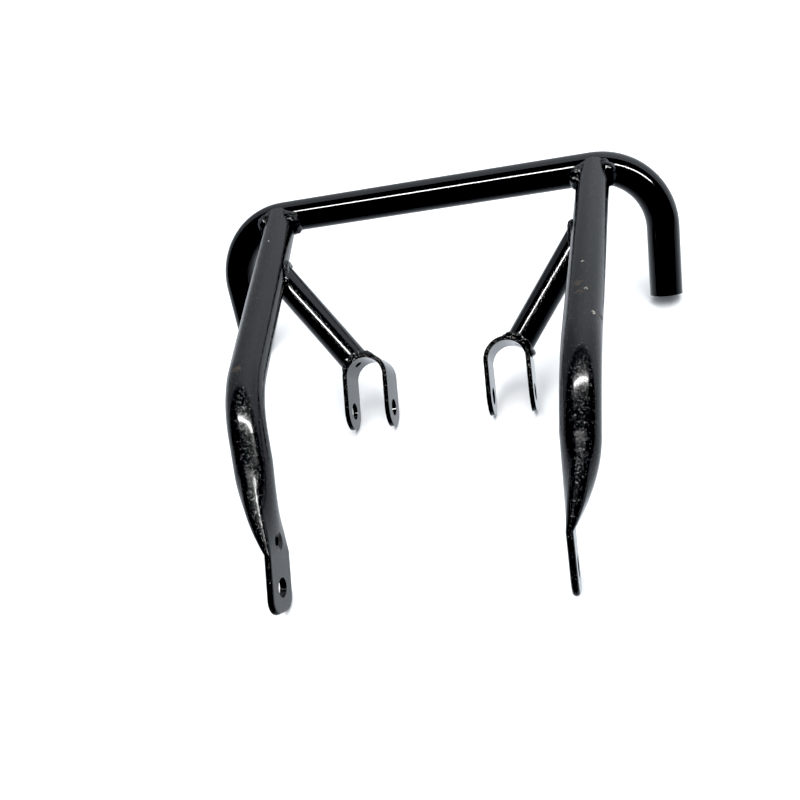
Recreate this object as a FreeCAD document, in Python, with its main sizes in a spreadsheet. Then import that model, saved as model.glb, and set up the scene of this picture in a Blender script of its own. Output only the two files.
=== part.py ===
import FreeCAD, Part
import math
import os
import Sketcher

# Welded tubular front bumper for a small quad bike, in millimetres.
# It stands as it would on a bench: hoop legs and tab ends on the floor, bracket ears just clear of it,
# X across the vehicle, Y away from the mounting tabs towards the hoop, Z up.
# The origin is on the floor, midway across the width and midway along the depth.

V = FreeCAD.Vector
doc = FreeCAD.newDocument("front_bumper")
sheet = doc.addObject("Spreadsheet::Sheet", "Sizes")

# Driving sizes
SIZES = [
    ("tube_diameter", 22.2, "outside diameter of the hoop and upright tube"),
    ("tube_wall", 1.65, "wall of every tube"),
    ("strut_diameter", 19.05, "outside diameter of the strut tube"),
    ("leg_spacing", 316.4, "distance between the leg axes at the height of the hoop's run"),
    ("hoop_bend", 44.4, "centre-line radius of the hoop's two bends"),
    ("leg_drop", 92.6, "from the run's axis to a leg end, in the plane of the hoop"),
    ("leg_toe", 2.2, "degrees each leg runs inwards"),
    ("hoop_lean", 28.0, "degrees the plane of the hoop leans back from upright"),
    ("joint_inset", 44.2, "from a leg's axis to where the upright meets the hoop"),
    ("bend_half", 95.0, "half the distance between the uprights' bends"),
    ("upper_reach", 197.0, "from the hoop's axis to the upright's bend"),
    ("upright_bend", 56.0, "centre-line radius of the upright's bend"),
    ("lower_lean", 48.2, "degrees the lower stretch leans from upright"),
    ("tab_half", 81.0, "half the distance between the middles of the two tabs"),
    ("tab_shift", 3.0, "the tab lies this far inside the tube's axis"),
    ("tab_width", 28.0, "width of the flattened tab"),
    ("tab_thickness", 4.0, "thickness of the flattened tab"),
    ("tab_tip", 14.0, "from the bolt hole to the tab's end"),
    ("tab_corner", 9.0, "radius of the tab's corners"),
    ("tab_round", 1.8, "radius along the tab's folded edges"),
    ("tab_flat", 19.0, "flat length above the bolt hole"),
    ("press_length", 50.0, "length over which the round tube is pressed flat"),
    ("oval_level", 25.0, "height of the half-pressed oval section over the flat"),
    ("oval_width", 26.8, "width of the half-pressed oval section"),
    ("oval_thickness", 17.2, "thickness of the half-pressed oval section"),
    ("oval_round", 6.5, "radius of the oval section's narrow ends"),
    ("bolt_hole", 11.0, "clearance hole for an M10 bolt, in tabs and ears"),
    ("drain_hole", 5.0, "drain hole through the pressed part of the upright"),
    ("drain_dish", 11.0, "diameter of the dish round the drain hole"),
    ("drain_height", 25.5, "from the bolt hole up to the drain hole"),
    ("tongue_gap", 4.5, "the upright's end stops this far short of the hoop's axis"),
    ("strut_start", 63.5, "from the hoop's axis along the upright to the strut"),
    ("bracket_half", 46.9, "half the distance between the middles of the two brackets"),
    ("bracket_reach", 138.0, "from the hoop's axis to the bolt through the ears"),
    ("bracket_gap", 24.0, "clear width between the ears"),
    ("strap_thickness", 3.0, "thickness of the bracket strap"),
    ("strap_width", 25.0, "width of the bracket strap"),
    ("ear_length", 21.4, "from the middle of the crown to the bolt hole"),
    ("ear_lean", 49.5, "degrees the ears lean from upright"),
    ("ear_clear", 0.5, "height of the ear tips over the floor"),
    ("vent_hole", 5.0, "vent through the crown into the strut"),
    ("weld_size", 2.6, "leg length of the weld beads"),
    ("hoop_weld_top", 6.0, "height of the hoop welds over the tube axis"),
]
for row, (alias, value, note) in enumerate(SIZES, start=1):
    sheet.set(f"A{row}", note)
    sheet.set(f"B{row}", str(value))
    sheet.setAlias(f"B{row}", alias)
doc.recompute()


def size(alias):
    return float(getattr(sheet, alias))


# Positions that follow from the sizes
tube_radius = size("tube_diameter") / 2
lean = math.radians(size("hoop_lean"))
toe = math.radians(size("leg_toe"))
lower = math.radians(size("lower_lean"))
ear = math.radians(size("ear_lean"))

# The lowest point of a square-cut leg end is on its rim.
rim_drop = tube_radius * math.sqrt(1 - (math.cos(toe) * math.cos(lean)) ** 2)
hoop_height = size("leg_drop") * math.cos(lean) + rim_drop

# The tab stands on its lower rounded corner, and its front corner is the frontmost point.
tip_core = size("tab_tip") - size("tab_corner")
side_core = size("tab_width") / 2 - size("tab_corner")
hole_height = size("tab_corner") + tip_core * math.cos(lower) + side_core * math.sin(lower)
front_reach = size("tab_corner") + tip_core * math.sin(lower) + side_core * math.cos(lower)
lower_length = (hoop_height - hole_height) / math.cos(lower)
hole_reach = size("upper_reach") + lower_length * math.sin(lower)
hoop_y = (hole_reach + front_reach - tube_radius) / 2

joint = V(size("leg_spacing") / 2 - size("joint_inset"), hoop_y, hoop_height)
bend = V(size("bend_half"), hoop_y - size("upper_reach"), hoop_height)
tab_hole = V(size("tab_half"), hoop_y - hole_reach, hole_height)
upper_line = (bend - joint).normalize()
strut_root = joint + upper_line * size("strut_start")

ear_height = size("strap_width") / 2 + size("ear_clear")
ear_hole = V(size("bracket_half"), hoop_y - size("bracket_reach"), ear_height)
ear_rise = V(0, math.sin(ear), math.cos(ear))
crown = ear_hole + ear_rise * size("ear_length")
crown_axis = V(0, math.cos(ear), -math.sin(ear))
strut_line = (crown - strut_root).normalize()
X_AXIS = V(1, 0, 0)


def origin_plane(body, role):
    for feature in body.Origin.OriginFeatures:
        if feature.Role == role:
            return feature


def new_sketch(body, name, role, offset=None):
    """A sketch on one of the body's own origin planes, moved by an offset placement."""
    sketch = body.newObject("Sketcher::SketchObject", name)
    sketch.AttachmentSupport = [(origin_plane(body, role), "")]
    sketch.MapMode = "FlatFace"
    if offset is not None:
        sketch.AttachmentOffset = offset
    return sketch


def bind(sketch, name, constraint, formula):
    """Adds a named constraint whose value follows a formula of the sheet."""
    index = sketch.addConstraint(constraint)
    sketch.renameConstraint(index, name)
    sketch.setExpression("Constraints." + name, formula)


def add_circle(sketch, name, radius, formula):
    """A circle about the sketch's origin with its radius bound to a formula."""
    geometry = sketch.addGeometry(Part.Circle(V(0, 0, 0), V(0, 0, 1), radius))
    sketch.addConstraint(Sketcher.Constraint("Coincident", geometry, 3, -1, 1))
    bind(sketch, name, Sketcher.Constraint("Radius", geometry, radius), formula)


def placed(point, direction):
    """Placement that carries the Z axis onto a direction from a point."""
    return FreeCAD.Placement(point, FreeCAD.Rotation(V(0, 0, 1), direction))


def rod(name, formula, start, direction, length):
    """A solid round rod, its radius bound to a formula of the sheet."""
    cylinder = doc.addObject("Part::Cylinder", name)
    cylinder.setExpression("Radius", formula)
    cylinder.Height = length
    cylinder.Placement = placed(start, direction)
    return cylinder


def cut(name, base, tool):
    result = doc.addObject("Part::Cut", name)
    result.Base = base
    result.Tool = tool
    return result


def mirrored(name, source):
    """The left-hand twin of a right-hand piece."""
    twin = doc.addObject("Part::Mirroring", name)
    twin.Source = source
    twin.Normal = X_AXIS
    twin.Base = V(0, 0, 0)
    return twin


# Hoop: one tube bent twice, legs running down and slightly inwards
hoop_bend = size("hoop_bend")
hoop_tangent = hoop_bend * math.tan((math.pi / 2 + toe) / 2)
run_half = size("leg_spacing") / 2 - hoop_tangent
leg_length = size("leg_drop") / math.cos(toe) - hoop_tangent
TANGENT = "Sizes.hoop_bend * tan((90 + Sizes.leg_toe) / 2 * 1 deg)"


def hoop_path(body):
    """Centre line of the hoop: run, two bends and two legs, in the plane of the hoop."""
    path = new_sketch(body, body.Name + "_path", "XZ_Plane")
    legs = []
    run = path.addGeometry(Part.LineSegment(V(-run_half, 0, 0), V(run_half, 0, 0)))
    for side, run_end, arc_run_end, arc_leg_end in ((1, 2, 2, 1), (-1, 1, 1, 2)):
        centre = V(side * run_half, -hoop_bend, 0)
        leg_top = centre + V(side * math.cos(toe), -math.sin(toe), 0) * hoop_bend
        leg_end = leg_top + V(-side * math.sin(toe), -math.cos(toe), 0) * leg_length
        angles = (-toe, math.pi / 2) if side > 0 else (math.pi / 2, math.pi + toe)
        arc = path.addGeometry(Part.ArcOfCircle(Part.Circle(centre, V(0, 0, 1), hoop_bend), *angles))
        leg = path.addGeometry(Part.LineSegment(leg_top, leg_end))
        path.addConstraint(Sketcher.Constraint("Tangent", run, run_end, arc, arc_run_end))
        path.addConstraint(Sketcher.Constraint("Tangent", leg, 1, arc, arc_leg_end))
        legs.append((arc, leg, leg_end))
    (right_arc, right_leg, right_end), (left_arc, left_leg, _) = legs
    path.addConstraint(Sketcher.Constraint("Symmetric", run, 1, run, 2, -1, 1))
    path.addConstraint(Sketcher.Constraint("Horizontal", run))
    path.addConstraint(Sketcher.Constraint("Equal", right_arc, left_arc))
    path.addConstraint(Sketcher.Constraint("Symmetric", right_leg, 2, left_leg, 2, -2))
    bind(path, "run", Sketcher.Constraint("Distance", run, 2 * run_half), "Sizes.leg_spacing - 2 * " + TANGENT)
    bind(path, "bend", Sketcher.Constraint("Radius", right_arc, hoop_bend), "Sizes.hoop_bend")
    bind(path, "leg", Sketcher.Constraint("Distance", right_leg, leg_length),
         "Sizes.leg_drop / cos(Sizes.leg_toe * 1 deg) - " + TANGENT)
    bind(path, "leg_x", Sketcher.Constraint("DistanceX", -1, 1, right_leg, 2, right_end.x),
         "Sizes.leg_spacing / 2 - Sizes.leg_drop * tan(Sizes.leg_toe * 1 deg)")
    return path


def hoop_body(name, rings):
    """A pipe along the hoop's centre line; each ring is a name, a radius and its formula."""
    body = doc.addObject("PartDesign::Body", name)
    body.Placement = FreeCAD.Placement(V(0, hoop_y, hoop_height), FreeCAD.Rotation(X_AXIS, -size("hoop_lean")))
    path = hoop_path(body)
    profile = new_sketch(body, name + "_profile", "YZ_Plane")
    for ring, radius, formula in rings:
        add_circle(profile, ring, radius, formula)
    pipe = body.newObject("PartDesign::AdditivePipe", name + "_pipe")
    pipe.Profile = profile
    pipe.Spine = (path, [])
    doc.recompute()
    return body


TUBE_OUTSIDE = "Sizes.tube_diameter / 2"
TUBE_INSIDE = "Sizes.tube_diameter / 2 - Sizes.tube_wall"
TUBE_WELDED = "Sizes.tube_diameter / 2 + Sizes.weld_size"
hoop = hoop_body("hoop_tube", [("outside", tube_radius, TUBE_OUTSIDE),
                               ("inside", tube_radius - size("tube_wall"), TUBE_INSIDE)])
hoop_core = hoop_body("hoop_core", [("outside", tube_radius, TUBE_OUTSIDE)])

hoop_fat = hoop_body("hoop_fat", [("outside", tube_radius + size("weld_size"), TUBE_WELDED)])

# Upright: its body stands on the bolt hole, Z up along the tab, X across the vehicle
upright = doc.addObject("PartDesign::Body", "upright_tube")
upright.Placement = FreeCAD.Placement(tab_hole, FreeCAD.Rotation(X_AXIS, -size("lower_lean")))
to_local = upright.Placement.inverse()
bend_local = to_local.multVec(bend)
joint_local = to_local.multVec(joint)
foot_local = V(size("tab_shift"), 0, 0)
lower_line = (foot_local - bend_local).normalize()
rise_line = (joint_local - bend_local).normalize()
bend_angle = math.pi - lower_line.getAngle(rise_line)
press_top = size("tab_flat") + size("press_length")
axis_tilt = math.atan2(bend_local.x - foot_local.x, bend_local.z)
press_centre = foot_local + V(math.tan(axis_tilt), 0, 1) * press_top

# The bend's path lies in the plane of the two stretches, with its corner at the sketch's origin.
plane_normal = lower_line.cross(rise_line).normalize()
path_turn = FreeCAD.Rotation(lower_line, plane_normal.cross(lower_line), plane_normal, "XYZ")
upright_path = new_sketch(upright, "upright_path", "XY_Plane", FreeCAD.Placement(bend_local, path_turn))
upright_bend = size("upright_bend")
upright_tangent = upright_bend * math.tan(bend_angle / 2)
low_end = V((press_centre - bend_local).Length, 0, 0)
low_start = V(upright_tangent, 0, 0)
turn = V(-math.cos(bend_angle), math.sin(bend_angle), 0)
high_start = turn * upright_tangent
high_length = (joint_local - bend_local).Length - size("tongue_gap")
high_end = turn * high_length
low_run = upright_path.addGeometry(Part.LineSegment(low_end, low_start))
corner_arc = upright_path.addGeometry(Part.ArcOfCircle(
    Part.Circle(V(upright_tangent, upright_bend, 0), V(0, 0, 1), upright_bend),
    -math.pi / 2 - bend_angle, -math.pi / 2))
high_run = upright_path.addGeometry(Part.LineSegment(high_start, high_end))
upright_path.addConstraint(Sketcher.Constraint("Tangent", low_run, 2, corner_arc, 2))
upright_path.addConstraint(Sketcher.Constraint("Tangent", high_run, 1, corner_arc, 1))
upright_path.addConstraint(Sketcher.Constraint("PointOnObject", low_run, 1, -1))
upright_path.addConstraint(Sketcher.Constraint("PointOnObject", low_run, 2, -1))
bind(upright_path, "bend", Sketcher.Constraint("Radius", corner_arc, upright_bend), "Sizes.upright_bend")
upright_path.addConstraint(Sketcher.Constraint("DistanceX", -1, 1, low_run, 1, low_end.x))
upright_path.addConstraint(Sketcher.Constraint("DistanceX", -1, 1, high_run, 2, high_end.x))
upright_path.addConstraint(Sketcher.Constraint("DistanceY", -1, 1, high_run, 2, high_end.y))

press_plane = FreeCAD.Placement(press_centre, FreeCAD.Rotation(V(0, 1, 0), math.degrees(axis_tilt)))
upright_ring = new_sketch(upright, "upright_ring", "XY_Plane", press_plane)
add_circle(upright_ring, "outside", tube_radius, TUBE_OUTSIDE)
add_circle(upright_ring, "inside", tube_radius - size("tube_wall"), TUBE_INSIDE)
upright_pipe = upright.newObject("PartDesign::AdditivePipe", "upright_pipe")
upright_pipe.Profile = upright_ring
upright_pipe.Spine = (upright_path, [])
doc.recompute()

# The broad arcs of the round section become the flats of the tab.
FLAT_ARC = math.radians(72)


def round_section(name, radius, formula):
    """A circle in four arcs, so that it can be joined to a four-sided flat section."""
    sketch = new_sketch(upright, name, "XY_Plane", press_plane)
    limits = (-FLAT_ARC, FLAT_ARC, math.pi - FLAT_ARC, math.pi + FLAT_ARC)
    arcs = []
    for first, last in zip(limits, limits[1:] + (2 * math.pi - FLAT_ARC,)):
        arcs.append(sketch.addGeometry(
            Part.ArcOfCircle(Part.Circle(V(0, 0, 0), V(0, 0, 1), radius), first, last)))
    for arc, following in zip(arcs, arcs[1:] + arcs[:1]):
        sketch.addConstraint(Sketcher.Constraint("Coincident", arc, 2, following, 1))
    for arc in arcs[:-1]:
        sketch.addConstraint(Sketcher.Constraint("Coincident", arc, 3, -1, 1))
    bind(sketch, "radius", Sketcher.Constraint("Radius", arcs[0], radius), formula)
    return sketch


def flat_section(name, width, thickness, width_formula, thickness_formula):
    """A flat section with round edges, at the top of the tab."""
    level = FreeCAD.Placement(V(0, 0, size("tab_flat")), FreeCAD.Rotation())
    sketch = new_sketch(upright, name, "XY_Plane", level)
    half = thickness / 2
    end = width / 2 - half
    right = sketch.addGeometry(Part.LineSegment(V(half, -end, 0), V(half, end, 0)))
    top = sketch.addGeometry(Part.ArcOfCircle(Part.Circle(V(0, end, 0), V(0, 0, 1), half), 0, math.pi))
    left = sketch.addGeometry(Part.LineSegment(V(-half, end, 0), V(-half, -end, 0)))
    bottom = sketch.addGeometry(
        Part.ArcOfCircle(Part.Circle(V(0, -end, 0), V(0, 0, 1), half), math.pi, 2 * math.pi))
    for first, second in ((right, top), (top, left), (left, bottom), (bottom, right)):
        sketch.addConstraint(Sketcher.Constraint("Tangent", first, 2, second, 1))
    sketch.addConstraint(Sketcher.Constraint("Symmetric", right, 1, left, 1, -1, 1))
    sketch.addConstraint(Sketcher.Constraint("Vertical", right))
    sketch.addConstraint(Sketcher.Constraint("Equal", top, bottom))
    bind(sketch, "thickness", Sketcher.Constraint("Radius", top, half), thickness_formula + " / 2")
    bind(sketch, "width", Sketcher.Constraint("Distance", right, 2 * end),
         width_formula + " - " + thickness_formula)
    return sketch


def oval_section(name, inset, inset_formula):
    """The half-pressed section: an oval of four arcs, its inner side in line with tube and tab."""
    width = size("oval_width") / 2 - inset
    thickness = size("oval_thickness") / 2 - inset
    end = size("oval_round") - inset
    rise = width - end
    side = (thickness ** 2 + rise ** 2 - end ** 2) / (2 * (thickness - end))
    joint_angle = math.atan2(rise, side - thickness)
    share = size("oval_level") / size("press_length")
    inner_top = press_centre.x - tube_radius
    inner_side = share * inner_top - (1 - share) * size("tab_thickness") / 2
    centre = V(inner_side + size("oval_thickness") / 2, 0, size("tab_flat") + size("oval_level"))
    sketch = new_sketch(upright, name, "XY_Plane", FreeCAD.Placement(centre, FreeCAD.Rotation()))
    arcs = []
    for middle, radius, first, last in (
            (V(thickness - side, 0, 0), side, -joint_angle, joint_angle),
            (V(0, rise, 0), end, joint_angle, math.pi - joint_angle),
            (V(side - thickness, 0, 0), side, math.pi - joint_angle, math.pi + joint_angle),
            (V(0, -rise, 0), end, math.pi + joint_angle, 2 * math.pi - joint_angle)):
        arcs.append(sketch.addGeometry(Part.ArcOfCircle(Part.Circle(middle, V(0, 0, 1), radius), first, last)))
    for arc, following in zip(arcs, arcs[1:] + arcs[:1]):
        sketch.addConstraint(Sketcher.Constraint("Tangent", arc, 2, following, 1))
    sketch.addConstraint(Sketcher.Constraint("Equal", arcs[1], arcs[3]))
    sketch.addConstraint(Sketcher.Constraint("Equal", arcs[0], arcs[2]))
    sketch.addConstraint(Sketcher.Constraint("Symmetric", arcs[1], 3, arcs[3], 3, -1, 1))
    sketch.addConstraint(Sketcher.Constraint("PointOnObject", arcs[1], 3, -2))
    bind(sketch, "end", Sketcher.Constraint("Radius", arcs[1], end), "Sizes.oval_round" + inset_formula)
    bind(sketch, "rise", Sketcher.Constraint("DistanceY", -1, 1, arcs[1], 3, rise),
         "Sizes.oval_width / 2 - Sizes.oval_round")
    sketch.addConstraint(Sketcher.Constraint("Radius", arcs[0], side))
    return sketch


press_outside = upright.newObject("PartDesign::AdditiveLoft", "press_outside")
press_outside.Profile = round_section("press_round", tube_radius, TUBE_OUTSIDE)
press_outside.Sections = [
    oval_section("press_oval", 0, ""),
    flat_section("press_flat", size("tab_width"), size("tab_thickness"), "Sizes.tab_width", "Sizes.tab_thickness")]
doc.recompute()
hollow_width = size("tab_width") - 2 * size("tube_wall")
hollow_thickness = size("tab_thickness") - 2 * size("tube_wall")
press_inside = upright.newObject("PartDesign::SubtractiveLoft", "press_inside")
press_inside.Profile = round_section(
    "hollow_round", tube_radius - size("tube_wall"), TUBE_INSIDE)
press_inside.Sections = [
    oval_section("hollow_oval", size("tube_wall"), " - Sizes.tube_wall"),
    flat_section("hollow_flat", hollow_width, hollow_thickness,
                 "(Sizes.tab_width - 2 * Sizes.tube_wall)", "(Sizes.tab_thickness - 2 * Sizes.tube_wall)")]
doc.recompute()

# Tab: flat plate with rounded corners and one bolt hole
tab_outline = new_sketch(upright, "tab_outline", "YZ_Plane")
half_width = size("tab_width") / 2
corner = size("tab_corner")
tip = size("tab_tip")
top_right = V(half_width, size("tab_flat"), 0)
top_left = V(-half_width, size("tab_flat"), 0)
low_right = V(half_width, corner - tip, 0)
low_left = V(-half_width, corner - tip, 0)
tip_right = V(half_width - corner, -tip, 0)
tip_left = V(corner - half_width, -tip, 0)
top_line = tab_outline.addGeometry(Part.LineSegment(top_left, top_right))
right_line = tab_outline.addGeometry(Part.LineSegment(top_right, low_right))
right_round = tab_outline.addGeometry(Part.ArcOfCircle(
    Part.Circle(V(half_width - corner, corner - tip, 0), V(0, 0, 1), corner), -math.pi / 2, 0))
tip_line = tab_outline.addGeometry(Part.LineSegment(tip_right, tip_left))
left_round = tab_outline.addGeometry(Part.ArcOfCircle(
    Part.Circle(V(corner - half_width, corner - tip, 0), V(0, 0, 1), corner), -math.pi, -math.pi / 2))
left_line = tab_outline.addGeometry(Part.LineSegment(low_left, top_left))
for constraint in (
        Sketcher.Constraint("Coincident", top_line, 2, right_line, 1),
        Sketcher.Constraint("Tangent", right_line, 2, right_round, 2),
        Sketcher.Constraint("Tangent", right_round, 1, tip_line, 1),
        Sketcher.Constraint("Tangent", tip_line, 2, left_round, 2),
        Sketcher.Constraint("Tangent", left_round, 1, left_line, 1),
        Sketcher.Constraint("Coincident", left_line, 2, top_line, 1),
        Sketcher.Constraint("Vertical", right_line),
        Sketcher.Constraint("Horizontal", tip_line),
        Sketcher.Constraint("Vertical", left_line),
        Sketcher.Constraint("Symmetric", top_line, 1, top_line, 2, -2),
        Sketcher.Constraint("Equal", left_round, right_round)):
    tab_outline.addConstraint(constraint)
bind(tab_outline, "width", Sketcher.Constraint("Distance", top_line, 2 * half_width), "Sizes.tab_width")
bind(tab_outline, "corner", Sketcher.Constraint("Radius", right_round, corner), "Sizes.tab_corner")
bind(tab_outline, "flat", Sketcher.Constraint("DistanceY", -1, 1, top_line, 1, size("tab_flat")), "Sizes.tab_flat")
bind(tab_outline, "tip", Sketcher.Constraint("DistanceY", tip_line, 1, -1, 1, tip), "Sizes.tab_tip")
bolt_circle = tab_outline.addGeometry(Part.Circle(V(0, 0, 0), V(0, 0, 1), size("bolt_hole") / 2))
tab_outline.addConstraint(Sketcher.Constraint("Coincident", bolt_circle, 3, -1, 1))
bind(tab_outline, "bolt", Sketcher.Constraint("Radius", bolt_circle, size("bolt_hole") / 2), "Sizes.bolt_hole / 2")
tab_pad = upright.newObject("PartDesign::Pad", "tab_pad")
tab_pad.Profile = tab_outline
tab_pad.SideType = "Symmetric"
tab_pad.setExpression("Length", "Sizes.tab_thickness")
doc.recompute()


CLOSE = 0.01


def tab_edges(shape):
    """The tab's outer edges, which run round its sides and tip on both faces."""
    hole_edge = size("bolt_hole") / 2 + CLOSE
    names = []
    for index, edge in enumerate(shape.Edges, start=1):
        points = edge.discretize(5)
        on_face = all(abs(abs(point.x) - size("tab_thickness") / 2) < CLOSE for point in points)
        below = all(point.z < size("tab_flat") + CLOSE for point in points)
        on_top = all(abs(point.z - size("tab_flat")) < CLOSE for point in points)
        outside = all(math.hypot(point.y, point.z) > hole_edge for point in points)
        if on_face and below and outside and not on_top:
            names.append("Edge" + str(index))
    return names


tab_fold = upright.newObject("PartDesign::Fillet", "tab_fold")
tab_fold.Base = (tab_pad, tab_edges(tab_pad.Shape))
tab_fold.setExpression("Radius", "Sizes.tab_round")
upright.Tip = tab_fold
doc.recompute()

# Cope against the hoop, then the drain hole in its dish on the inner side
coped = cut("coped_upright", upright, hoop_core)
drain_mid = upright.Placement.multVec(V(0, 0, size("drain_height")))
drain_rod = rod("drain_rod", "Sizes.drain_hole / 2", drain_mid - X_AXIS * tube_radius, X_AXIS, tube_radius)
drained = cut("drained_upright", coped, drain_rod)
drain_cone = doc.addObject("Part::Cone", "drain_cone")
drain_cone.setExpression("Radius1", "Sizes.drain_dish / 2")
drain_cone.setExpression("Radius2", "Sizes.drain_hole / 2")
drain_cone.setExpression("Height", "Sizes.tube_wall")
drain_cone.Placement = placed(drain_mid - X_AXIS * size("tab_thickness") / 2, X_AXIS)
right_upright = cut("right_upright", drained, drain_cone)
left_upright = mirrored("left_upright", right_upright)

# Strut: thinner tube from the upright's inner side to the crown of the bracket
strut_length = (crown - strut_root).Length
strut_rod = rod("strut_rod", "Sizes.strut_diameter / 2", strut_root, strut_line, strut_length)
strut_bore = rod("strut_bore", "Sizes.strut_diameter / 2 - Sizes.tube_wall", strut_root, strut_line, strut_length)
strut_tube = cut("strut_tube", strut_rod, strut_bore)
upper_rod = rod("upper_rod", TUBE_OUTSIDE, joint, upper_line, 2 * size("strut_start"))
strut_coped = cut("strut_coped", strut_tube, upper_rod)
crown_rod = rod("crown_rod", "Sizes.bracket_gap / 2 + Sizes.strap_thickness",
                crown - crown_axis * size("strap_width"), crown_axis, 2 * size("strap_width"))
right_strut = cut("right_strut", strut_coped, crown_rod)
left_strut = mirrored("left_strut", right_strut)

# Bracket: strap bent to a U, round ear ends, one bolt hole through both ears
bracket = doc.addObject("PartDesign::Body", "bracket_strap")
bracket.Placement = FreeCAD.Placement(crown, FreeCAD.Rotation(X_AXIS, -size("ear_lean")))
gap_half = size("bracket_gap") / 2
strap = size("strap_thickness")
crown_sketch = new_sketch(bracket, "crown_arc", "XZ_Plane")
outer_arc = crown_sketch.addGeometry(
    Part.ArcOfCircle(Part.Circle(V(0, 0, 0), V(0, 0, 1), gap_half + strap), 0, math.pi))
inner_arc = crown_sketch.addGeometry(
    Part.ArcOfCircle(Part.Circle(V(0, 0, 0), V(0, 0, 1), gap_half), 0, math.pi))
right_foot = crown_sketch.addGeometry(Part.LineSegment(V(gap_half, 0, 0), V(gap_half + strap, 0, 0)))
left_foot = crown_sketch.addGeometry(Part.LineSegment(V(-gap_half, 0, 0), V(-gap_half - strap, 0, 0)))
for constraint in (
        Sketcher.Constraint("Coincident", outer_arc, 3, -1, 1),
        Sketcher.Constraint("Coincident", inner_arc, 3, -1, 1),
        Sketcher.Constraint("Coincident", right_foot, 1, inner_arc, 1),
        Sketcher.Constraint("Coincident", right_foot, 2, outer_arc, 1),
        Sketcher.Constraint("Coincident", left_foot, 1, inner_arc, 2),
        Sketcher.Constraint("Coincident", left_foot, 2, outer_arc, 2),
        Sketcher.Constraint("PointOnObject", right_foot, 2, -1),
        Sketcher.Constraint("PointOnObject", right_foot, 1, -1),
        Sketcher.Constraint("PointOnObject", left_foot, 1, -1),
        Sketcher.Constraint("PointOnObject", left_foot, 2, -1)):
    crown_sketch.addConstraint(constraint)
bind(crown_sketch, "inner", Sketcher.Constraint("Radius", inner_arc, gap_half), "Sizes.bracket_gap / 2")
bind(crown_sketch, "outer", Sketcher.Constraint("Radius", outer_arc, gap_half + strap),
     "Sizes.bracket_gap / 2 + Sizes.strap_thickness")
crown_pad = bracket.newObject("PartDesign::Pad", "crown_pad")
crown_pad.Profile = crown_sketch
crown_pad.SideType = "Symmetric"
crown_pad.setExpression("Length", "Sizes.strap_width")
doc.recompute()

strap_half = size("strap_width") / 2
ear_length = size("ear_length")
for name, offset in (("outer_ear", gap_half), ("inner_ear", -gap_half - strap)):
    ear_sketch = new_sketch(bracket, name, "YZ_Plane", FreeCAD.Placement(V(0, 0, offset), FreeCAD.Rotation()))
    root_line = ear_sketch.addGeometry(Part.LineSegment(V(strap_half, 0, 0), V(-strap_half, 0, 0)))
    near_line = ear_sketch.addGeometry(Part.LineSegment(V(-strap_half, 0, 0), V(-strap_half, -ear_length, 0)))
    ear_round = ear_sketch.addGeometry(Part.ArcOfCircle(
        Part.Circle(V(0, -ear_length, 0), V(0, 0, 1), strap_half), math.pi, 2 * math.pi))
    far_line = ear_sketch.addGeometry(Part.LineSegment(V(strap_half, -ear_length, 0), V(strap_half, 0, 0)))
    ear_bolt = ear_sketch.addGeometry(
        Part.Circle(V(0, -ear_length, 0), V(0, 0, 1), size("bolt_hole") / 2))
    for constraint in (
            Sketcher.Constraint("Coincident", root_line, 2, near_line, 1),
            Sketcher.Constraint("Tangent", near_line, 2, ear_round, 1),
            Sketcher.Constraint("Tangent", ear_round, 2, far_line, 1),
            Sketcher.Constraint("Coincident", far_line, 2, root_line, 1),
            Sketcher.Constraint("Symmetric", root_line, 1, root_line, 2, -1, 1),
            Sketcher.Constraint("Horizontal", root_line),
            Sketcher.Constraint("Vertical", near_line),
            Sketcher.Constraint("Vertical", far_line),
            Sketcher.Constraint("Coincident", ear_bolt, 3, ear_round, 3)):
        ear_sketch.addConstraint(constraint)
    bind(ear_sketch, "half_width", Sketcher.Constraint("Radius", ear_round, strap_half), "Sizes.strap_width / 2")
    bind(ear_sketch, "length", Sketcher.Constraint("Distance", near_line, ear_length), "Sizes.ear_length")
    bind(ear_sketch, "bolt", Sketcher.Constraint("Radius", ear_bolt, size("bolt_hole") / 2), "Sizes.bolt_hole / 2")
    ear_pad = bracket.newObject("PartDesign::Pad", name + "_pad")
    ear_pad.Profile = ear_sketch
    ear_pad.setExpression("Length", "Sizes.strap_thickness")
    doc.recompute()

vent_rod = rod("vent_rod", "Sizes.vent_hole / 2", crown, strut_line * -1, strut_length / 2)
right_bracket = cut("right_bracket", bracket, vent_rod)
left_bracket = mirrored("left_bracket", right_bracket)


def ball(name, centre, reach):
    """A ball that bounds a bead, so that it keeps to the joint."""
    sphere = doc.addObject("Part::Sphere", name)
    sphere.Radius = reach
    sphere.Placement.Base = centre
    return sphere


def bead(name, shapes, solids):
    """A weld bead: where thickened pieces meet within a bound, outside the pieces they join."""
    overlap = doc.addObject("Part::MultiCommon", name + "_overlap")
    overlap.Shapes = shapes
    first = cut(name + "_outside", overlap, solids[0])
    return cut("right_" + name, first, solids[1])


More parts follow.
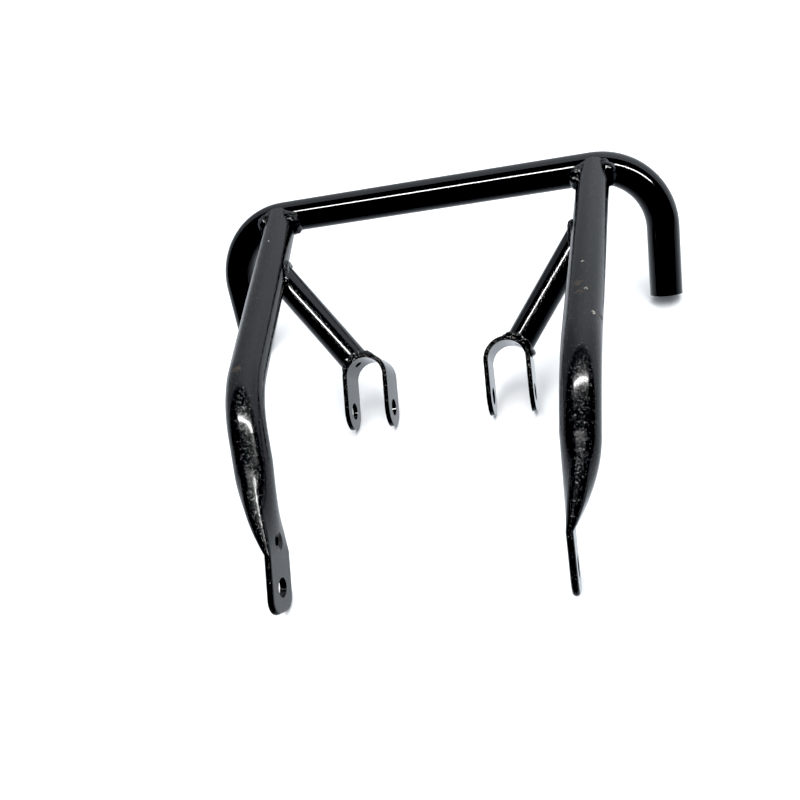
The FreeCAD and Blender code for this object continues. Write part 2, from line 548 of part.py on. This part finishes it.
# Weld beads: hoop to upright, upright to strut, strut to bracket
weld = size("weld_size")
fat_strut = "Sizes.strut_diameter / 2 + Sizes.weld_size"
fat_crown = "Sizes.bracket_gap / 2 + Sizes.strap_thickness + Sizes.weld_size"
upper_fat = rod("upper_fat", TUBE_WELDED, joint, upper_line, 2 * size("strut_start"))
strut_fat = rod("strut_fat", fat_strut, strut_root, strut_line, strut_length)
crown_fat = rod("crown_fat", fat_crown, crown - crown_axis * strap_half, crown_axis, size("strap_width"))
strut_radius = size("strut_diameter") / 2
strut_slant = strut_line.getAngle(upper_line)
seam_middle = strut_root + strut_line * (tube_radius / math.sin(strut_slant))
strut_ball = ball("strut_ball", seam_middle, strut_radius / math.sin(strut_slant) + weld / 2)
block = 3 * size("tube_diameter")
weld_block = doc.addObject("Part::Box", "weld_block")
weld_block.Length = block
weld_block.Width = block
weld_block.Height = block
weld_block.Placement.Base = V(joint.x - block / 2, joint.y - block, joint.z + size("hoop_weld_top") - block)
hoop_weld = bead("hoop_weld", [hoop_fat, upper_fat, weld_block], [hoop_core, upper_rod])
strut_weld = bead("strut_weld", [upper_fat, strut_fat, strut_ball], [upper_rod, strut_rod])
bracket_weld = bead("bracket_weld", [crown_fat, strut_fat], [crown_rod, strut_rod])
welds = []
for name, right_weld in (("hoop_weld", hoop_weld), ("strut_weld", strut_weld), ("bracket_weld", bracket_weld)):
    welds += [right_weld, mirrored("left_" + name, right_weld)]
doc.recompute()

# Files
pieces = [hoop, right_upright, left_upright, right_strut, left_strut, right_bracket, left_bracket] + welds
for thing in doc.Objects:
    if "Invalid" in thing.State or "Error" in thing.State:
        raise RuntimeError(thing.Label + " did not build")
os.makedirs("parts", exist_ok=True)
for piece in pieces:
    shape = piece.Shape
    if shape.isNull() or not shape.isValid():
        raise RuntimeError(piece.Label + " is not a sound solid")
    shape.exportStep("parts/" + piece.Label + ".step")
    print(piece.Label, "solids", len(shape.Solids), "volume", round(shape.Volume, 1))
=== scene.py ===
# %% [markdown]
# This lesson dresses a welded tubular front bumper for a small quad bike.
# The exact solids (hoop, uprights, struts, saddle brackets and weld beads) come in as a fixed frame,
# so Blender only has to add what solids can't hold: paint, wear, lumpy weld metal, light and a camera.

# %% Load the solids and note their box
import math
import random
import bmesh
import bpy
from mathutils import Matrix, Vector


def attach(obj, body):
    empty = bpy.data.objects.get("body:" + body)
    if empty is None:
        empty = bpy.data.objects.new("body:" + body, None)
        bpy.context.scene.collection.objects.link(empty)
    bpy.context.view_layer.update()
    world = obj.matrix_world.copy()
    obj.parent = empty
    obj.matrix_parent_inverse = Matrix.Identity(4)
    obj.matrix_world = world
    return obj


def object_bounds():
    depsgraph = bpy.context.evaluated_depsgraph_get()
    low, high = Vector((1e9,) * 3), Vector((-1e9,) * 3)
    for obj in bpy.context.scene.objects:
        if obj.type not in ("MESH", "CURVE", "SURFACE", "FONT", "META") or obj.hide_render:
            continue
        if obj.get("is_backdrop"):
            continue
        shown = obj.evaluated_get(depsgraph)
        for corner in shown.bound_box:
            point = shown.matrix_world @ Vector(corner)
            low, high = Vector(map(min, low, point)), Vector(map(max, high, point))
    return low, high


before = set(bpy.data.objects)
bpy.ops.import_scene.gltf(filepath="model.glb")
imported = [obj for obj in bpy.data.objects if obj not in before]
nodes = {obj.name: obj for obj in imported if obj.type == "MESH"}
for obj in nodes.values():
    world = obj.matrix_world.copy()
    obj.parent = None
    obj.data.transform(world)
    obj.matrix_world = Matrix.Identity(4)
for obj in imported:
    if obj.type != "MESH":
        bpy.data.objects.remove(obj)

MM = 0.001
cad_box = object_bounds()
print("solids:", sorted(nodes))
print("box in mm:", [[round(value / MM, 1) for value in corner] for corner in cad_box])

# %% [markdown]
# The camera stands in front of the tabs, a little to the right, and looks down at about 42 degrees.
# A camera could be aimed by hand, but its three axes are known here, so they go straight into its matrix.
# The slight shift is the photograph's own framing: its middle isn't where the lens points.

# %% Camera
CAMERA_AT = Vector((108.52, -390.82, 378.41)) * MM
CAMERA_RIGHT = Vector((0.97605, 0.06278, -0.20830))
CAMERA_FORWARD = Vector((-0.18913, 0.71806, -0.66979))

camera = bpy.data.objects.new("camera", bpy.data.cameras.new("camera"))
bpy.context.collection.objects.link(camera)
up = CAMERA_RIGHT.cross(CAMERA_FORWARD).normalized()
axes = Matrix((CAMERA_RIGHT, up, -CAMERA_FORWARD)).transposed()
camera.matrix_world = Matrix.Translation(CAMERA_AT) @ axes.to_4x4()
camera.data.sensor_width = 36
camera.data.lens = 37.72
camera.data.shift_x = -0.0613
camera.data.shift_y = 0.0037
camera.data.clip_start = 0.01
bpy.context.scene.camera = camera
print("looks down, degrees:", round(math.degrees(math.asin(-CAMERA_FORWARD.z))))

# %% [markdown]
# Colours are easier to judge as sRGB hex values, the way a paint shop or a picture editor gives them.
# Blender's shaders work with linear light, so one function turns the first into the second.


# %% Colour helper
def linear(code):
    """An sRGB hex value as linear red, green, blue and full opacity."""
    channels = [int(code[i:i + 2], 16) / 255 for i in (1, 3, 5)]
    return tuple(c / 12.92 if c <= 0.04045 else ((c + 0.055) / 1.055) ** 2.4 for c in channels) + (1.0,)


DEEP_BLACK = "#060607"
SMEARED_BLACK = "#0e0e0f"
RUST = "#2e251c"
PRIMER = "#b9b3a4"
print("deep black, linear:", [round(c, 4) for c in linear(DEEP_BLACK)])

# %% [markdown]
# A material is a small network of nodes. One helper adds a node, sets it and links it in one line,
# so that the networks below can be read from top to bottom like a recipe.


# %% Node helper
def add(tree, kind, inputs=None, **settings):
    """Adds a node; an input is either a number or colour to set, or another node's output to link."""
    node = tree.nodes.new(kind)
    for name, value in settings.items():
        setattr(node, name, value)
    for socket, value in (inputs or {}).items():
        if isinstance(value, bpy.types.NodeSocket):
            tree.links.new(value, node.inputs[socket])
        else:
            node.inputs[socket].default_value = value
    return node


def new_material(name):
    """An empty node material with its output and a coordinate node that reads the part's own frame."""
    material = bpy.data.materials.new(name)
    material.use_nodes = True
    tree = material.node_tree
    tree.nodes.clear()
    output = add(tree, "ShaderNodeOutputMaterial")
    place = add(tree, "ShaderNodeTexCoord").outputs["Object"]
    return material, tree, output, place


def per_mm(width):
    """Texture scale for a pattern whose marks are this many millimetres wide."""
    return 1 / (width * MM)


# %% [markdown]
# The paint is sprayed gloss black enamel over plain steel tube, put on thick and by hand.
# To the eye that gives a deep black with sharp reflections, broken by orange peel about 2 mm wide,
# slow waves where the tube was pressed and bent, and hard nibs of dust set in the coat.
# All three are bumps, so the reflections break up; the nibs alone also carry a paler colour, partly the
# dust's own and partly painted glints.
# Real nibs are finer than these. They are drawn 0.8 mm wide, because finer ones wouldn't show.

# %% Paint surface
WAVE_WIDTH = 16
PEEL_WIDTH = 2.0
NIB_WIDTH = 0.8
NIB_FOOT = 0.61
NIB_TOP = 0.75


def rough_coat(tree, place, wave, peel, nib):
    """Bumps of a sprayed coat, with heights in millimetres: its normal, and the fields of peel and nibs."""
    slow = add(tree, "ShaderNodeTexNoise", {"Vector": place, "Scale": per_mm(WAVE_WIDTH), "Detail": 1.0})
    fine = add(tree, "ShaderNodeTexNoise", {"Vector": place, "Scale": per_mm(PEEL_WIDTH), "Detail": 2.0})
    grain = add(tree, "ShaderNodeTexNoise", {"Vector": place, "Scale": per_mm(NIB_WIDTH), "Detail": 1.0})
    nib_and_glint_field = add(tree, "ShaderNodeMapRange", {
        "Value": grain.outputs["Fac"], "From Min": NIB_FOOT, "From Max": NIB_TOP})
    waves = add(tree, "ShaderNodeBump", {
        "Height": slow.outputs["Fac"], "Distance": wave * MM})
    peeled = add(tree, "ShaderNodeBump", {
        "Height": fine.outputs["Fac"], "Distance": peel * MM, "Normal": waves.outputs["Normal"]})
    nibbed = add(tree, "ShaderNodeBump", {
        "Height": nib_and_glint_field.outputs["Result"], "Distance": nib * MM, "Normal": peeled.outputs["Normal"]})
    return nibbed.outputs["Normal"], fine.outputs["Fac"], nib_and_glint_field.outputs["Result"]


# %% [markdown]
# Wear isn't spread evenly: rust comes through on the uprights, some spots are chipped,
# and the strap edges are scuffed. Each spot is a soft ball in the part's frame.
# A noise threshold inside the ball breaks it into flakes,
# which keeps the marks ragged and leaves the paint whole everywhere else.

# %% Worn places
SOLID_SHARE = 0.2
FLAKE_EDGE = 0.06


def zone(tree, place, centre, reach):
    """1 at a point of the part, in millimetres, falling to 0 at the given reach."""
    away = add(tree, "ShaderNodeVectorMath", {0: place, 1: Vector(centre) * MM}, operation="DISTANCE")
    near = add(tree, "ShaderNodeMapRange", {
        "Value": away.outputs["Value"], "From Min": reach * MM, "From Max": SOLID_SHARE * reach * MM})
    return near.outputs["Result"]


def together(tree, fields):
    """The strongest of several masks."""
    total = fields[0]
    for field in fields[1:]:
        total = add(tree, "ShaderNodeMath", {0: total, 1: field}, operation="MAXIMUM").outputs["Value"]
    return total


def flakes(tree, place, field, width, edge):
    """Ragged flakes of one width in millimetres; the higher the edge, the fewer they are."""
    noise = add(tree, "ShaderNodeTexNoise", {
        "Vector": place, "Scale": per_mm(width), "Detail": 5.0, "Roughness": 0.65})
    masked = add(tree, "ShaderNodeMath", {0: noise.outputs["Fac"], 1: field}, operation="MULTIPLY")
    cut = add(tree, "ShaderNodeMapRange", {
        "Value": masked.outputs["Value"], "From Min": edge, "From Max": edge + FLAKE_EDGE})
    return cut.outputs["Result"]


# Each spot is its middle and its reach, in millimetres.
RUSTED = [
    ((97.3, -3.0, 97.7), 9),
    ((97.6, -11.8, 97.9), 7),
    ((108.0, -28.2, 91.3), 9),
    ((-97.7, -41.8, 97.6), 8),
]
CHIPPED = [
    ((101.1, 16.2, 98.0), 4),
    ((101.7, -9.7, 97.9), 4),
    ((104.5, -29.3, 95.7), 5),
    ((-109.1, 92.1, 98.1), 3),
]


def spots(tree, place):
    """Rust and chips at the listed spots, which all lie on the uprights."""
    rust = together(tree, [zone(tree, place, *spot) for spot in RUSTED])
    chip = together(tree, [zone(tree, place, *spot) for spot in CHIPPED])
    return flakes(tree, place, rust, width=1.2, edge=0.42), flakes(tree, place, chip, width=0.8, edge=0.50)


# %% [markdown]
# The paint joins these layers: black enamel, then brown rust and pale primer in the chips.
# Enamel is a dielectric with an index near 1.5; the lost places are duller than the coat around them.

# %% Enamel
SMEAR_WIDTH = 22
PEEL_LOW = 0.3
PEEL_HIGH = 0.7
WORN_ROUGHNESS = 0.55


def enamel(name, wear, wave, peel, nib, gloss, dust_and_glint):
    """Gloss black enamel; wear gives the masks of rust and of chips, gloss is the range of roughness, and
    the nibs get a paler colour that is partly dust and partly painted glints.
    """
    material, tree, output, place = new_material(name)
    normal, peel_field, nib_and_glint_field = rough_coat(tree, place, wave, peel, nib)
    rust, chip = wear(tree, place)
    smear = add(tree, "ShaderNodeTexNoise", {"Vector": place, "Scale": per_mm(SMEAR_WIDTH), "Detail": 4.0})
    black = add(tree, "ShaderNodeMix", {
        "Factor": smear.outputs["Fac"],
        "A": linear(DEEP_BLACK),
        "B": linear(SMEARED_BLACK)}, data_type="RGBA")
    # Painted glints: the nibs take a paler colour, partly the dust's own and partly standing in for small
    # glints of light.
    dust_and_glint_specks = add(tree, "ShaderNodeMix", {
        "Factor": nib_and_glint_field, "A": black.outputs["Result"], "B": linear(dust_and_glint)}, data_type="RGBA")
    rusty = add(tree, "ShaderNodeMix", {
        "Factor": rust, "A": dust_and_glint_specks.outputs["Result"], "B": linear(RUST)}, data_type="RGBA")
    chipped = add(tree, "ShaderNodeMix", {
        "Factor": chip, "A": rusty.outputs["Result"], "B": linear(PRIMER)}, data_type="RGBA")
    shine = add(tree, "ShaderNodeMapRange", {
        "Value": peel_field,
        "From Min": PEEL_LOW,
        "From Max": PEEL_HIGH,
        "To Min": gloss[0],
        "To Max": gloss[1]})
    dull = add(tree, "ShaderNodeMix", {
        "Factor": together(tree, [rust, chip]), "A": shine.outputs["Result"], "B": WORN_ROUGHNESS})
    shader = add(tree, "ShaderNodeBsdfPrincipled", {
        "Base Color": chipped.outputs["Result"],
        "Roughness": dull.outputs["Result"],
        "Normal": normal,
        "IOR": 1.5})
    tree.links.new(shader.outputs["BSDF"], output.inputs["Surface"])
    return material


# %% [markdown]
# The coat isn't the same everywhere. The hoop is smooth, the struts are a little rougher, and the uprights
# are gritty: dust settled on them while the paint was wet, so their highlights break into sparkle, and their
# pale nibs also carry painted glints. The weld beads are painted over too and carry the deepest bumps.
# One list of spots serves all four paints, because a spot only marks the piece that lies there.

# %% Tube and weld paint
# The last colour of each paint is its nib colour: partly dust, partly painted glints, palest on the
# uprights.
hoop_paint = enamel(
    "smooth_black_enamel", spots, wave=0.05, peel=0.004, nib=0.002, gloss=(0.06, 0.12), dust_and_glint="#0e0e0f")
strut_paint = enamel(
    "peeled_black_enamel", spots, wave=0.08, peel=0.008, nib=0.03, gloss=(0.08, 0.14), dust_and_glint="#141414")
upright_paint = enamel(
    "gritty_black_enamel", spots, wave=0.10, peel=0.015, nib=0.06, gloss=(0.10, 0.20), dust_and_glint="#2e2c29")
weld_paint = enamel(
    "thick_black_enamel", spots, wave=0.20, peel=0.04, nib=0.08, gloss=(0.10, 0.20), dust_and_glint="#141414")
print("paint nodes:", len(upright_paint.node_tree.nodes))

# %% [markdown]
# The brackets are cut from strap, so their edges are sheared and sharp and the paint flakes off there first.
# The distance of a point from the strap's mid plane tells the edge from the face,
# because the strap is 25 mm wide.
# Both brackets lean alike, so one direction across the strap serves the two of them.

# %% Bracket paint
STRAP_WIDTH = 25.0
EDGE_BAND = 1.2
EAR_LEAN = math.radians(49.5)
EAR_LENGTH = 21.4
EAR_BOLT = Vector((0, 2.643, 13.0))
UP_THE_EAR = Vector((0, math.sin(EAR_LEAN), math.cos(EAR_LEAN)))
ACROSS_STRAP = Vector((0, math.cos(EAR_LEAN), -math.sin(EAR_LEAN)))
CROWN_MIDDLE = EAR_BOLT + EAR_LENGTH * UP_THE_EAR


def scuffed_edges(tree, place):
    """Rust and chips along the sheared edges of the strap."""
    offset = add(tree, "ShaderNodeVectorMath", {
        0: place, 1: CROWN_MIDDLE * MM}, operation="SUBTRACT")
    depth = add(tree, "ShaderNodeVectorMath", {
        0: offset.outputs["Vector"], 1: ACROSS_STRAP}, operation="DOT_PRODUCT")
    side = add(tree, "ShaderNodeMath", {0: depth.outputs["Value"]}, operation="ABSOLUTE")
    rim = add(tree, "ShaderNodeMapRange", {
        "Value": side.outputs["Value"],
        "From Min": (STRAP_WIDTH / 2 - EDGE_BAND) * MM,
        "From Max": STRAP_WIDTH / 2 * MM}).outputs["Result"]
    return flakes(tree, place, rim, width=2.0, edge=0.64), flakes(tree, place, rim, width=0.7, edge=0.63)


strap_paint = enamel(
    "scuffed_black_enamel", scuffed_edges,
    wave=0.05, peel=0.006, nib=0.01, gloss=(0.05, 0.09), dust_and_glint="#1c1c1c")
PAINTS = {
    "tube": hoop_paint,
    "upright": upright_paint,
    "strut": strut_paint,
    "bracket": strap_paint,
    "weld": weld_paint,
}
print("paints:", [paint.name for paint in PAINTS.values()])

# %% [markdown]
# Every solid gets its paint, by the last word of its name. The tubes and straps keep their own meshes,
# with a fine bevel that catches light along their edges. The weld beads are remeshed, softened
# and pushed about by a cloud pattern so that they look laid by hand.

# %% Dress the solids
LUMPS = bpy.data.textures.new("weld_lumps", "CLOUDS")
LUMPS.noise_scale = 4.0 * MM
LUMPS.noise_depth = 1


def lumpy(bead):
    """Modifiers that turn a neat weld into an uneven one."""
    remesh = bead.modifiers.new("even_mesh", "REMESH")
    remesh.mode = "VOXEL"
    remesh.voxel_size = 0.5 * MM
    remesh.use_smooth_shade = True
    soften = bead.modifiers.new("soften", "SMOOTH")
    soften.iterations = 8
    lumps = bead.modifiers.new("lumps", "DISPLACE")
    lumps.texture = LUMPS
    lumps.texture_coords = "GLOBAL"
    lumps.strength = 1.8 * MM
    lumps.mid_level = 0.5


for name, solid in nodes.items():
    kind = name.rsplit("_", 1)[1]
    solid.data.materials.clear()
    solid.data.materials.append(PAINTS[kind])
    if kind == "weld":
        lumpy(solid)
    else:
        ease = solid.modifiers.new("eased_edges", "BEVEL")
        ease.width = 0.4 * MM
        ease.segments = 2
        ease.limit_method = "ANGLE"
        ease.angle_limit = math.radians(40)
print("dressed", len(nodes), "solids")

# %% [markdown]
# Where an upright meets the hoop, the bead is fat and uneven: it fills the valley beside the upright's top,
# which is why the top looks like a tongue lying on the hoop. The bead is built the way a welder lays it,
# drop after drop along the seam. Two tubes of one diameter meet in a curve that a single angle describes.
# A drop is as large as the room under the tubes' upper line lets it be, so it is small at the top
# and fat on the flanks, and it stays a little below that line.

# %% Hand-laid hoop beads
TUBE_RADIUS = 11.1
JOINT = Vector((114.0, 140.643, 86.986))
ALONG = Vector((-19.0, -197.0, 0.0)).normalized()
ASIDE = Vector((-ALONG.y, ALONG.x, 0.0))
TONGUE_GAP = 4.5
TONGUE_LAP = 1.0
BEAD_LEAD = 3.0
DROPS_EACH_WAY = 11
DROP_STEP = math.radians(9)
DROP_LARGEST = 5.4
DROP_SMALLEST = 1.2
DROP_GROWTH = 0.9
DROP_EVENNESS = 0.88
DROP_COVER = 0.7


def seam(turn):
    """A point of the seam, by the angle round the upright from its top, where the upright stops short."""
    out = max(TUBE_RADIUS * abs(math.sin(turn)), TONGUE_GAP - TONGUE_LAP)
    side = TUBE_RADIUS * math.sin(turn)
    reach = (out + ASIDE.y * side) / -ALONG.y + BEAD_LEAD * abs(math.sin(turn))
    return JOINT + ALONG * reach + ASIDE * side + Vector((0, 0, TUBE_RADIUS * math.cos(turn)))


def hoop_bead(name, hand):
    """Drops along the seam from one flank over the top to the other, joined to one lumpy bead."""
    chance = random.Random(11)
    drops = bmesh.new()
    for step in range(-DROPS_EACH_WAY, DROPS_EACH_WAY + 1):
        turn = DROP_STEP * step
        room_above = TUBE_RADIUS * (1 - math.cos(turn))
        size = min(DROP_LARGEST, DROP_SMALLEST + DROP_GROWTH * room_above)
        size *= chance.uniform(DROP_EVENNESS, 1.0)
        centre = seam(turn) - Vector((0, 0, max(0.0, size + DROP_COVER - room_above)))
        spot = Vector((hand * centre.x, centre.y, centre.z)) * MM
        bmesh.ops.create_icosphere(drops, subdivisions=2, radius=size * MM, matrix=Matrix.Translation(spot))
    mesh = bpy.data.meshes.new(name)
    drops.to_mesh(mesh)
    drops.free()
    bead = bpy.data.objects.new(name, mesh)
    bpy.context.collection.objects.link(bead)
    mesh.materials.append(weld_paint)
    lumpy(bead)
    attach(bead, "root")
    return bead


beads = [hoop_bead("right_hoop_bead", 1), hoop_bead("left_hoop_bead", -1)]
print("beads:", [bead.name for bead in beads])

# %% [markdown]
# The floor is plain and pale, and lit until it is nearly white. It is so large that its far edge shows
# only from low down, as a horizon. It lies a hair under the part, clear of the faces that rest on it.

# %% Floor
FLOOR_HALF = 6
FLOOR_DROP = 0.2 * MM

floor_mesh = bpy.data.meshes.new("floor")
corners = [(-FLOOR_HALF, -FLOOR_HALF, 0), (FLOOR_HALF, -FLOOR_HALF, 0),
           (FLOOR_HALF, FLOOR_HALF, 0), (-FLOOR_HALF, FLOOR_HALF, 0)]
floor_mesh.from_pydata(corners, [], [(0, 1, 2, 3)])
floor = bpy.data.objects.new("floor", floor_mesh)
floor.location.z = -FLOOR_DROP
bpy.context.collection.objects.link(floor)
floor_paint, tree, output, place = new_material("matt_white_board")
mottle = add(tree, "ShaderNodeTexNoise", {"Vector": place, "Scale": per_mm(60), "Detail": 3.0})
pale = add(tree, "ShaderNodeMix", {
    "Factor": mottle.outputs["Fac"], "A": linear("#f4f4f4"), "B": linear("#fafafa")}, data_type="RGBA")
board = add(tree, "ShaderNodeBsdfPrincipled", {"Base Color": pale.outputs["Result"], "Roughness": 0.7})
tree.links.new(board.outputs["BSDF"], output.inputs["Surface"])
floor_mesh.materials.append(floor_paint)
floor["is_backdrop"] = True

# %% [markdown]
# Black gloss is drawn by what it mirrors, so the paint gets a room of its own to mirror:
# a grey wall behind the part, a dark ceiling and front, and a dim floor.
# That gives the tubes a grey upper band and a black lower one. Everything else sees a plain pale room.
# The light path tells the two apart: it says whether a ray comes from a reflection.

# %% Room
world = bpy.data.worlds.new("half_dark_room")
bpy.context.scene.world = world
world.use_nodes = True
tree = world.node_tree
BEHIND = (0, 0.966, -0.26)
DARK_SIDE = 0.03


def ramp(value, start, end, low, high):
    """A number that runs from low to high while a value runs from start to end."""
    return add(tree, "ShaderNodeMapRange", {
        "Value": value, "From Min": start, "From Max": end, "To Min": low, "To Max": high}).outputs["Result"]


def product(first, second):
    """Two numbers multiplied."""
    return add(tree, "ShaderNodeMath", {0: first, 1: second}, operation="MULTIPLY").outputs["Value"]


ray = add(tree, "ShaderNodeTexCoord").outputs["Generated"]
x, y, z = add(tree, "ShaderNodeSeparateXYZ", {"Vector": ray}).outputs
behind = add(tree, "ShaderNodeVectorMath", {0: ray, 1: BEHIND}, operation="DOT_PRODUCT").outputs["Value"]
# The wall is brighter to the right and towards the top.
wall = product(
    ramp(x, start=-0.6, end=0.3, low=0.55, high=1.15),
    ramp(z, start=0.4, end=0.95, low=1.0, high=1.4))
# Only the half behind the part has the wall; ceiling and front stay dark.
above = product(wall, ramp(behind, start=-0.04, end=0.04, low=DARK_SIDE, high=1.0))
# The mirrored floor is dark in front of the part and pale behind it.
below = ramp(y, start=-0.6, end=0.5, low=0.1, high=1.3)
downward = ramp(z, start=0.02, end=-0.02, low=0.0, high=1.0)
room = add(tree, "ShaderNodeMix", {"Factor": downward, "A": above, "B": below})
mirrored = add(tree, "ShaderNodeLightPath").outputs["Is Glossy Ray"]
strength = add(tree, "ShaderNodeMix", {"Factor": mirrored, "A": 1.0, "B": room.outputs["Result"]})
tree.links.new(strength.outputs["Result"], tree.nodes["Background"].inputs["Strength"])
tree.nodes["Background"].inputs["Color"].default_value = linear("#e4ebf3")

# %% [markdown]
# Each lamp has one task. A broad softbox overhead lights the floor and is hidden from reflections.
# A narrow strip is seen in reflections only and draws the white line along the tubes.
# The real floor is hidden from reflections too, because the room has a mirrored floor of its own.
# A slightly raised black level then brings the deepest shades down to full black.


# %% Lamps and contrast
def softbox(name, at, look_at, width, height, power):
    """A rectangular area light that faces a point; sizes in metres, power in watts."""
    data = bpy.data.lights.new(name, "AREA")
    data.shape = "RECTANGLE"
    data.size = width
    data.size_y = height
    data.energy = power
    light = bpy.data.objects.new(name, data)
    light.location = at
    light.rotation_euler = (Vector(look_at) - Vector(at)).to_track_quat("-Z", "Y").to_euler()
    bpy.context.collection.objects.link(light)
    return light


overhead = softbox("overhead", (0.0, -0.2, 2.5), (0, -0.2, 0), width=3.0, height=3.0, power=110)
overhead.visible_glossy = False
strip = softbox("strip", (0.32, -0.44, 1.10), (0.32, 0, 0), width=1.65, height=0.07, power=30)
strip.visible_diffuse = False
floor.visible_glossy = False

BLACK_LEVEL = 0.012
look = bpy.context.scene.view_settings
look.view_transform = "Standard"
look.use_curve_mapping = True
look.curve_mapping.black_level = (BLACK_LEVEL, BLACK_LEVEL, BLACK_LEVEL)
look.curve_mapping.update()
print("lights:", [light.name for light in bpy.data.lights])

# %% [markdown]
# Last, the dressed part's box is set against the box of the solids, and how much it grew is printed in
# millimetres.

# %% Check the size and finish
visual_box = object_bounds()
cad_size = cad_box[1] - cad_box[0]
visual_size = visual_box[1] - visual_box[0]
print("grown by mm:", [round((b - a) / MM, 2) for a, b in zip(cad_size, visual_size)])
